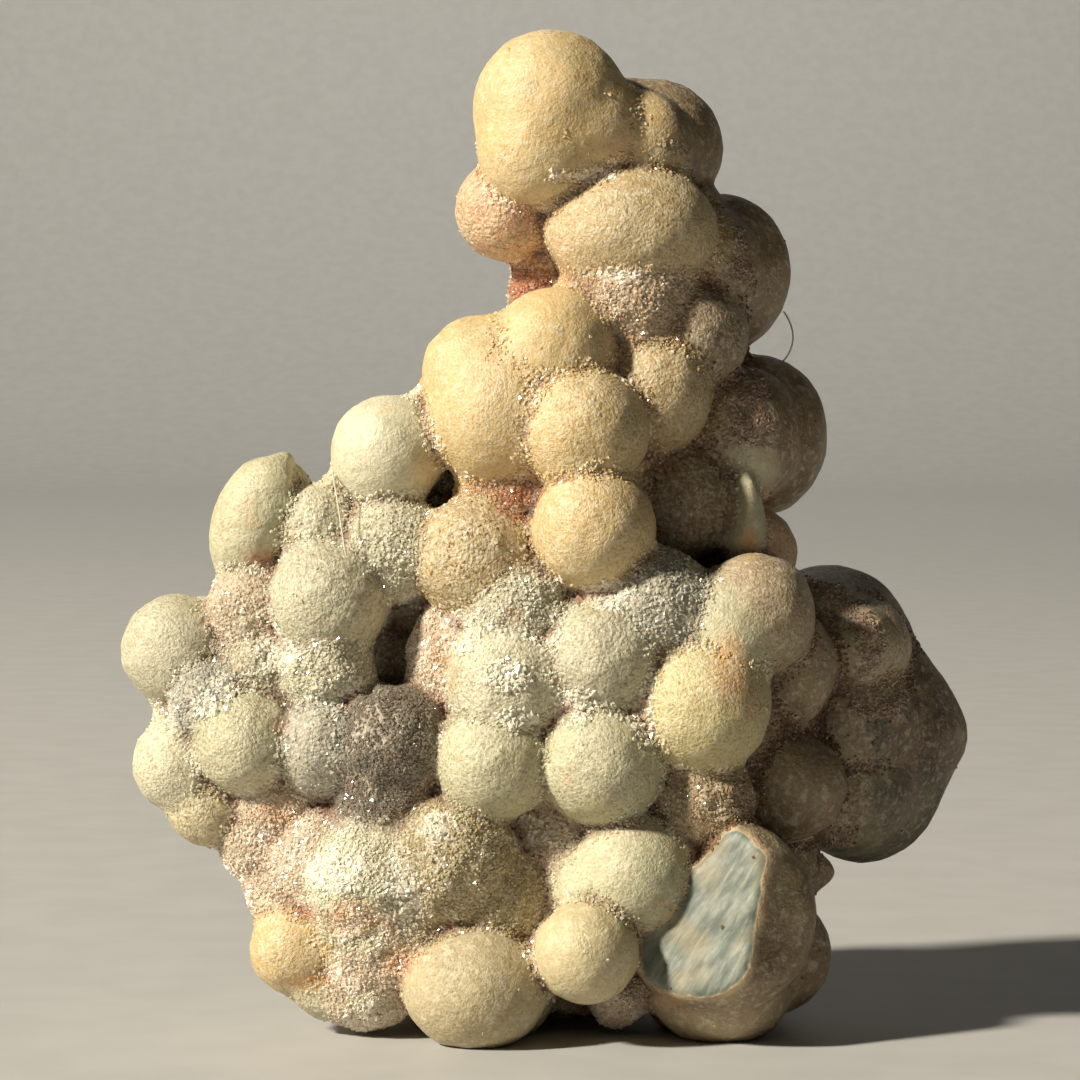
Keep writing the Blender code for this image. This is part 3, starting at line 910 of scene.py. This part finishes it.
class Value:
    def __init__(self, shop, socket):
        self.shop = shop
        self.socket = socket

    def maths(self, operation, *others):
        return self.shop.node(
            "ShaderNodeMath", {"operation": operation}, {i: v for i, v in enumerate((self, *others))}
        )

    def __add__(self, other):
        return self.maths("ADD", other)

    def __sub__(self, other):
        return self.maths("SUBTRACT", other)

    def __mul__(self, other):
        return self.maths("MULTIPLY", other)

    def __rsub__(self, other):
        return self.shop.node("ShaderNodeMath", {"operation": "SUBTRACT"}, {0: other, 1: self})

    __radd__ = __add__
    __rmul__ = __mul__

    def most(self, other):
        return self.maths("MAXIMUM", other)

    def least(self, other):
        return self.maths("MINIMUM", other)


class Shop:  # builds one material
    def __init__(self, name):
        self.material = bpy.data.materials.new(name)
        self.material.use_nodes = True
        self.tree = self.material.node_tree
        self.shader = self.tree.nodes["Principled BSDF"]

    def node(self, kind, settings=None, inputs=None, output=0):
        made = self.tree.nodes.new(kind)
        for name, value in (settings or {}).items():
            setattr(made, name, value)
        for key, value in (inputs or {}).items():
            self.feed(made.inputs[key], value)
        return Value(self, made.outputs[output])

    def feed(self, socket, value):
        if isinstance(value, Value):
            self.tree.links.new(value.socket, socket)
        elif isinstance(value, tuple) and len(value) == 3 and socket.type == "RGBA":
            socket.default_value = (*value, 1.0)
        else:
            socket.default_value = value

    def finish(self, **sockets):
        for name, value in sockets.items():
            self.feed(self.shader.inputs[name.replace("_", " ")], value)
        return self.material

    def place(self):
        return self.node("ShaderNodeTexCoord", output="Object")

    def mark(self, name, colour=False):
        return self.node("ShaderNodeAttribute", {"attribute_name": name}, output=0 if colour else 2)

    def noise(self, size, detail=2.0, rough=0.5, place=None):  # size is in millimetres
        where = place or self.place()
        return self.node(
            "ShaderNodeTexNoise", None,
            {"Vector": where, "Scale": 1.0 / (size * mm), "Detail": detail, "Roughness": rough},
        )

    def cells(self, size, output="Distance"):
        inputs = {"Vector": self.place(), "Scale": 1.0 / (size * mm)}
        return self.node("ShaderNodeTexVoronoi", None, inputs, output)

    def step(self, value, low, high, start=0.0, end=1.0):
        return self.node(
            "ShaderNodeMapRange", {"interpolation_type": "SMOOTHSTEP"},
            {"Value": value, "From Min": low, "From Max": high, "To Min": start, "To Max": end},
        )

    def mix(self, factor, first, second):
        inputs = {0: factor, 6: first, 7: second}
        return self.node("ShaderNodeMix", {"data_type": "RGBA"}, inputs, output=2)

    def bump(self, height, distance, strength):
        inputs = {"Height": height, "Distance": distance * mm, "Strength": strength}
        return self.node("ShaderNodeBump", None, inputs)


stone = {
    "straw": (0.74, 0.64, 0.44),
    "olive": (0.46, 0.40, 0.20),
    "butter": (0.78, 0.70, 0.50),
    "caramel": (0.42, 0.31, 0.14),
    "fleck": (0.60, 0.33, 0.13),
    "seam": (0.33, 0.23, 0.155),
    "rose": (0.32, 0.14, 0.085),
    "bead": (0.80, 0.73, 0.58),
    "sugar": (0.80, 0.75, 0.60),
    "pit": (0.16, 0.12, 0.07),
    "gap": (0.14, 0.10, 0.06),
    # painted shade, for the deepest creases
    "deep": (0.075, 0.042, 0.025),
    "glassDark": (0.095, 0.115, 0.09),
    "glassPale": (0.28, 0.295, 0.235),
    "glassWarm": (0.32, 0.25, 0.13),
    "rind": (0.62, 0.46, 0.28),
    "beadSize": 0.22,
    "speckSize": 0.17,
    "fibreTurn": 34.0,
    "fibreStretch": 4.0,
    "bumpDepth": 0.12,
    "bumpStrength": 0.8,
    "glowReach": 0.7,       # mm that light travels inside the stone
}


def chalcedonyMaterial():
    shop = Shop("chalcedony")
    tone = shop.mark("tone", colour=True)
    druse = shop.mark("druse")
    crease = shop.mark("crease")
    fracture = shop.mark("fracture")
    cloud = shop.noise(3.2, 4.0, 0.6)
    fine = shop.noise(0.55, 3.0, 0.6)
    bead = shop.cells(stone["beadSize"])
    beadShade = shop.cells(stone["beadSize"], output="Color")
    speck = shop.noise(stone["speckSize"], 2.0, 0.7)
    patch = shop.step(shop.noise(2.1, 3.0), 0.50, 0.66)
    pit = shop.cells(0.42)
    seam = shop.step(crease, -0.01, 0.09)
    rough = (shop.step(druse, 0.05, 0.8) * 0.9 + seam * 0.7).least(1.0)
    # mottled tone, with warm flecks, paler grains and darker pits between them
    sugar = shop.step(druse, 0.0, 0.3, 0.35, 1.0).most(patch * 0.9)
    base = shop.mix(shop.step(cloud, 0.30, 0.70) * 0.24, tone, stone["straw"])
    base = shop.mix(shop.step(shop.noise(4.0, 2.0), 0.52, 0.68) * 0.30, base, stone["olive"])
    base = shop.mix(shop.step(fine, 0.50, 0.68) * 0.40, base, stone["butter"])
    base = shop.mix(shop.step(fine, 0.46, 0.30) * 0.35, base, stone["caramel"])
    base = shop.mix(shop.step(shop.noise(1.5, 2.0), 0.60, 0.74) * 0.30, base, stone["fleck"])
    base = shop.mix(seam * 0.45, base, stone["seam"])
    rosy = shop.step(shop.noise(1.1, 2.0), 0.46, 0.66)
    base = shop.mix(seam * rosy * 0.5, base, stone["rose"])
    base = shop.mix(shop.step(beadShade, 0.35, 0.85) * sugar * (0.22 + rough * 0.16), base, stone["bead"])
    base = shop.mix(shop.step(speck, 0.52, 0.68) * sugar * 0.35, base, stone["sugar"])
    base = shop.mix(shop.step(speck, 0.48, 0.33) * sugar * (0.50 + rough * 0.2), base, stone["pit"])
    base = shop.mix(shop.step(bead, 0.40, 0.80) * sugar * (0.08 + rough * 0.25), base, stone["gap"])
    # painted shade: the deepest creases are darkened nearly to black
    base = shop.mix(shop.step(crease, 0.05, 0.18) * 0.85, base, stone["deep"])
    # the broken faces: grey green with soft pale fibres, and a rind around them
    turned = shop.node("ShaderNodeMapping", {"vector_type": "TEXTURE"}, {
        "Vector": shop.place(),
        "Rotation": (0.0, math.radians(stone["fibreTurn"]), 0.0),
        "Scale": (1.0, 1.0, stone["fibreStretch"]),
    })
    fibre = shop.noise(0.5, 3.0, 0.6, place=turned)
    glassy = shop.mix(shop.step(fibre, 0.30, 0.78), stone["glassDark"], stone["glassPale"])
    glassy = shop.mix(shop.step(shop.noise(2.6, 1.0), 0.48, 0.68) * 0.45, glassy, stone["glassWarm"])
    broken = shop.step(fracture, 0.45, 0.65)
    rind = shop.step(fracture, 0.05, 0.25) * (1.0 - broken)
    base = shop.mix(rind * shop.step(cloud, 0.35, 0.6, 0.3, 0.8), base, stone["rind"])
    base = shop.mix(broken, base, glassy)
    height = bead * (0.2 + rough) * -0.8 + pit * rough * -0.8 + speck * (0.3 + sugar * 0.8) + fine * 0.9
    height = height * (1.0 - broken) + fibre * broken * 0.5
    gloss = 0.46 - rough * 0.08 + shop.step(fine, 0.4, 0.7) * 0.12 + broken * 0.05
    return shop.finish(
        Base_Color=base,
        Roughness=gloss,
        Normal=shop.bump(height, stone["bumpDepth"], stone["bumpStrength"]),
        Subsurface_Weight=0.14,
        Subsurface_Radius=(1.0, 0.62, 0.30),
        Subsurface_Scale=stone["glowReach"] * mm,
        Specular_IOR_Level=0.5,
    )


grain = {
    "white": (0.90, 0.84, 0.72),
    # painted shade, for grains deep in the creases
    "deep": (0.34, 0.215, 0.15),
    "grime": (0.33, 0.14, 0.08),
    "dark": (0.30, 0.15, 0.08),
}


def druseMaterial():
    shop = Shop("druse")
    tone = shop.mark("tone", colour=True)
    shade = shop.mark("shade")
    crease = shop.mark("crease")
    base = shop.mix(shop.step(shade, 0.25, 1.0) * 0.75, tone, grain["white"])
    # painted shade: grains deep in the creases are darkened toward brown; patches of them also take a
    # rusty grime
    deep = shop.step(crease, 0.04, 0.20)
    base = shop.mix(deep * 0.6, base, grain["deep"])
    grime = shop.step(shop.noise(1.1, 2.0), 0.48, 0.66)
    base = shop.mix(grime * deep * 0.6, base, grain["grime"])
    base = shop.mix(shop.step(shade, 0.12, 0.0) * 0.6, base, grain["dark"])
    return shop.finish(
        Base_Color=base, Roughness=0.12 + shade * 0.14, Specular_IOR_Level=0.9,
    )


def lintMaterial():
    shop = Shop("lint")
    base = shop.mix(shop.noise(1.2, 1.0), (0.55, 0.47, 0.36), (0.75, 0.68, 0.55))
    return shop.finish(Base_Color=base, Roughness=0.6)


def floorMaterial():
    shop = Shop("floor")
    speck = shop.noise(6.0, 2.0)
    base = shop.mix(shop.step(speck, 0.3, 0.7), (0.46, 0.455, 0.435), (0.49, 0.485, 0.465))
    return shop.finish(Base_Color=base, Roughness=0.6)


# Studio


stage = {
    "floorSize": 3.0,       # metres from here on
    "floorAhead": 0.4,
    "wallHeight": 1.6,
    "cove": 0.5,
    "coveSteps": 24,
    "world": (0.80, 0.80, 0.78),
    "worldStrength": 0.02,
}
middle = Vector((0.0, 0.0, 0.028))
lights = {  # place, aim, size, watts and colour
    "key": (middle + facing(-60.0, 34.0) * 1.6, middle, 0.16, 49.0, (1.0, 0.93, 0.80)),
    "fill": (middle + facing(30.0, 25.0) * 0.8, middle, 0.6, 0.04, (0.90, 0.95, 1.0)),
    "wall": (Vector((0.0, 1.2, 1.5)), Vector((0.0, 1.9, 0.9)), 0.8, 8.0, (1.0, 0.98, 0.93)),
}


def addFloor():  # a floor that turns up into a wall behind the stone
    bpy.ops.object.select_all(action="DESELECT")
    bpy.ops.mesh.primitive_plane_add(size=stage["floorSize"], location=(0.0, stage["floorAhead"], 0.0))
    floor = bpy.context.active_object
    floor.name = "floor"
    onlySelect(floor)
    bpy.ops.object.transform_apply(location=True)
    bpy.ops.object.mode_set(mode="EDIT")
    bpy.ops.mesh.select_mode(type="EDGE")
    bpy.ops.mesh.select_all(action="DESELECT")
    bpy.ops.object.mode_set(mode="OBJECT")
    for edge in floor.data.edges:
        edge.select = all(floor.data.vertices[index].co.y > 0.0 for index in edge.vertices)
    bpy.ops.object.mode_set(mode="EDIT")
    rise = (0.0, 0.0, stage["wallHeight"])
    bpy.ops.mesh.extrude_region_move(TRANSFORM_OT_translate={"value": rise})
    bpy.ops.object.mode_set(mode="OBJECT")
    applyModifier(floor, "BEVEL", width=stage["cove"], segments=stage["coveSteps"])
    bpy.ops.object.shade_smooth()
    floor.data.materials.append(floorMaterial())


def addLight(name, place, aim, size, power, colour):
    light = bpy.data.lights.new(name, "AREA")
    light.shape = "DISK"
    light.size = size
    light.energy = power
    light.color = colour
    lamp = bpy.data.objects.new(name, light)
    bpy.context.scene.collection.objects.link(lamp)
    lamp.location = place
    lamp.rotation_euler = (aim - place).to_track_quat("-Z", "Y").to_euler()


def addCamera():
    aim = (Vector((view["aimAcross"], 0.0, view["aimUp"])) + view["shift"]) * mm
    camera = bpy.data.objects.new("camera", bpy.data.cameras.new("camera"))
    bpy.context.scene.collection.objects.link(camera)
    camera.location = aim + facing(0.0, math.degrees(view["tilt"])) * view["distance"] * mm
    camera.rotation_euler = (aim - camera.location).to_track_quat("-Z", "Y").to_euler()
    camera.data.sensor_width = 36.0
    camera.data.lens = 36.0 * view["distance"] / view["frameSide"]
    camera.data.clip_start = 0.005
    bpy.context.scene.camera = camera


def addWorld():
    world = bpy.data.worlds.new("studio")
    world.use_nodes = True
    background = world.node_tree.nodes["Background"]
    background.inputs["Color"].default_value = (*stage["world"], 1.0)
    background.inputs["Strength"].default_value = stage["worldStrength"]
    bpy.context.scene.world = world


def dress(piece, material):
    piece.data.materials.clear()
    piece.data.materials.append(material)
    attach(piece, "root")
    print(piece.name, len(piece.data.polygons), "faces")


addCamera()
front = {**tower, **shoulder, **wing, **field, **foot, **rearRight}
grown = {**front, **heels, **rearLumps(front)}
mass = makeMass(grown)
restFlat(mass)
onlySelect(mass)
bpy.ops.object.shade_smooth()
marks = markMass(mass, grown)
addKnobs(mass, marks)
wantGrains(marks)
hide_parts("botryoidal_chalcedony")
dress(mass, chalcedonyMaterial())

sparkle = druseMaterial()
for index in range(crust["pieces"]):
    dress(makeCrust(mass, marks, index), sparkle)
dress(addLint(), lintMaterial())

addFloor()
for name, light in lights.items():
    addLight(name, *light)
addWorld()
bpy.context.scene.view_settings.view_transform = "Standard"
